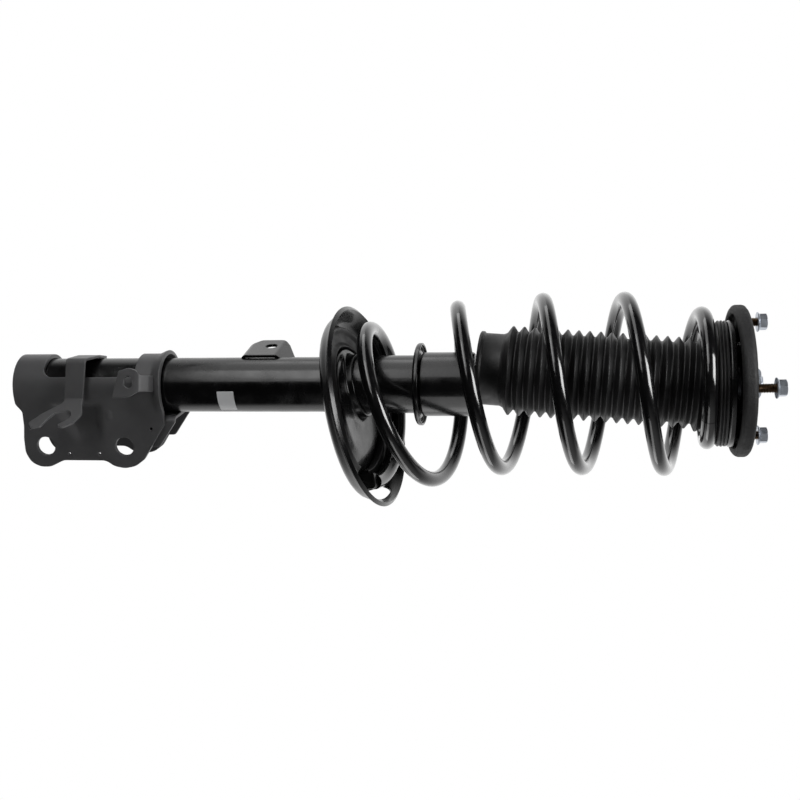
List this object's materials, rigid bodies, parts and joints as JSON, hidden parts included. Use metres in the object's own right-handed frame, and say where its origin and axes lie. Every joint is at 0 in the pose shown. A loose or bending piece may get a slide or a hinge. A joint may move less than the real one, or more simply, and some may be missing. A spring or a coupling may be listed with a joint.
{
  "type": "strut assembly",
  "caption": "MacPherson strut: damper with knuckle bracket, offset spring seat, coil spring, dust boot and a swivelling top mount with studs.",
  "frame": {"origin": "centre of the damper tube's foot", "axes": "+Z along the strut, from the foot to the top mount; +X towards the side that the knuckle ears point to"},
  "size_m": [0.193, 0.1828, 0.7041],
  "materials": {
    "glossy_paint": "gloss",
    "satin_coat": "satin",
    "spring_enamel": "gloss",
    "boot_rubber": "satin",
    "mount_rubber": "matte",
    "bright_zinc": "satin",
    "yellow_zinc": "satin",
    "steel": "satin",
    "chromed_steel": "polished",
    "foam": "matte",
    "polymer": "matte",
    "label_film": "satin"
  },
  "bodies": {
    "strut_tube": {"outer_tube": "glossy_paint", "base_cap": "steel", "base_valve": "steel", "pressure_cylinder": "steel", "rod_guide": "steel", "oil_seal": "boot_rubber", "gland_sleeve": "glossy_paint", "stop_plate": "glossy_paint", "link_bracket": "glossy_paint", "label": "label_film", "lower_spring_seat": "glossy_paint", "lower_spring_insulator": "boot_rubber", "sensor_bracket": "satin_coat", "hose_bracket": "satin_coat", "knuckle_bracket": "satin_coat", "bracket_brace": "satin_coat", "coil_spring": "spring_enamel"},
    "rod": {"piston_rod": "chromed_steel", "piston": "steel", "piston_band": "polymer", "piston_nut": "steel", "rebound_stop": "boot_rubber", "bump_stop": "foam", "bump_stop_cup": "steel", "upper_spring_insulator": "boot_rubber", "upper_spring_seat": "glossy_paint", "bearing_lower_race": "steel", "bearing_ball_cage": "polymer", "mount_inner_sleeve": "steel", "rod_nut": "bright_zinc"},
    "boot": {"dust_boot": "boot_rubber"},
    "top_mount": {"bearing_upper_race": "steel", "mount_cover": "mount_rubber", "mount_plate": "steel", "mount_bush": "mount_rubber", "mount_stud_1": "yellow_zinc", "mount_stud_2": "yellow_zinc", "mount_stud_3": "yellow_zinc", "flange_nut_1": "bright_zinc", "flange_nut_2": "bright_zinc", "flange_nut_3": "bright_zinc"}
  },
  "joints": [
    {"name": "rod_slide", "type": "slide", "parent": "strut_tube", "child": "rod", "axis": [0, 0, 1], "range_m": [-0.14, 0], "stiffness_N_per_m": 28000, "springref_m": 0.06, "deforming": ["coil_spring", "dust_boot"]},
    {"name": "boot_swing", "type": "hinge", "parent": "rod", "child": "boot", "pos_m": [0, 0, 0.632], "axis": [0, 1, 0], "range_deg": [-4.3, 0]},
    {"name": "mount_swivel", "type": "hinge", "parent": "rod", "child": "top_mount", "pos_m": [0, 0, 0.66], "axis": [0, 0, 1], "range_deg": [-40, 40]}
  ],
  "couplings": [
    {"joint": "boot_swing", "follows": "rod_slide", "rad_per_m": 0.5336}
  ]
}
